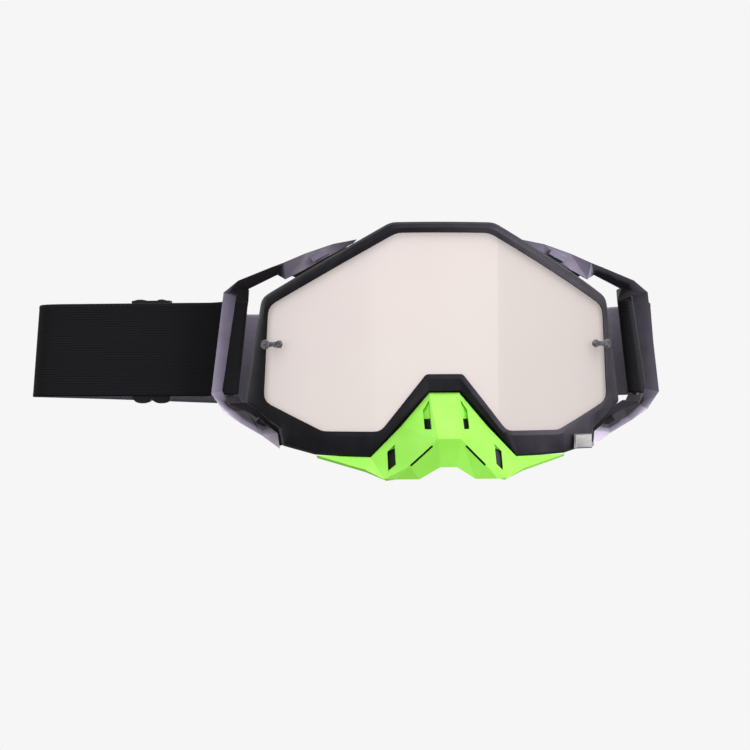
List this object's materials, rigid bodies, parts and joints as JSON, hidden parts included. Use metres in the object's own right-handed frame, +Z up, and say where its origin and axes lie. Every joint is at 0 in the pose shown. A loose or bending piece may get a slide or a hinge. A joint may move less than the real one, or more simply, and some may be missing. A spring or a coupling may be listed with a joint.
{
  "type": "off-road riding goggles",
  "caption": "Off-road riding goggles: curved mirror lens in a moulded frame, strap outriggers, clip-on nose guard, layered face foam and a wide elastic strap with sliders.",
  "frame": {"origin": "middle of the face opening, where the foam meets the brow in the goggles' middle plane, level with the lens's middle", "axes": "+X to the right of someone who faces the goggles, -Y the way the wearer looks, +Z up"},
  "size_m": [0.31, 0.1123, 0.1188],
  "materials": {
    "frame_plastic": "moulded flexible plastic, semi-matte black",
    "mirror_lens": "hard-coated polycarbonate with a rose-silver mirror coating",
    "smoke_plastic": "clear smoke-grey moulded plastic",
    "outrigger_plastic": "moulded plastic with a satin lavender-grey front",
    "steel": "plated pin",
    "lime_plastic": "moulded lime-green plastic",
    "badge_metal": "plain satin plate",
    "foam": "open-cell foam",
    "fleece": "brushed fleece bonded on foam",
    "strap_elastic": "woven elastic, near black",
    "slider_plastic": "moulded black plastic",
    "silicone": "silicone beads on the strap's inside"
  },
  "bodies": {
    "goggles": {"frame": "frame_plastic", "lens": "mirror_lens", "tear_off_post_left": "smoke_plastic", "tear_off_post_right": "smoke_plastic", "outrigger_left": "outrigger_plastic", "outrigger_right": "outrigger_plastic", "outrigger_pin_upper_left": "steel", "outrigger_pin_upper_right": "steel", "outrigger_pin_lower_left": "steel", "outrigger_pin_lower_right": "steel", "badge": "badge_metal", "face_foam_base": "foam", "face_foam_middle": "foam", "face_foam_fleece": "fleece", "top_vent_left_foam": "foam", "top_vent_right_foam": "foam", "bottom_vent_left_foam": "foam", "bottom_vent_right_foam": "foam", "strap": "strap_elastic", "grip_line_lower": "silicone", "grip_line_middle": "silicone", "grip_line_upper": "silicone"},
    "nose_guard": {"nose_guard": "lime_plastic"},
    "slider_left": {"slider_left": "slider_plastic"},
    "slider_right": {"slider_right": "slider_plastic"}
  },
  "joints": [
    {"name": "nose_guard_unclip", "type": "slide", "parent": "goggles", "child": "nose_guard", "axis": [0, -1, 0], "range_m": [0, 0.04]},
    {"name": "slider_left_slide", "type": "slide", "parent": "goggles", "child": "slider_left", "axis": [-0.9824, 0.1867, 0], "range_m": [-0.006, 0.03]},
    {"name": "slider_right_slide", "type": "slide", "parent": "goggles", "child": "slider_right", "axis": [0.9849, -0.173, 0], "range_m": [-0.013, 0.02]}
  ]
}
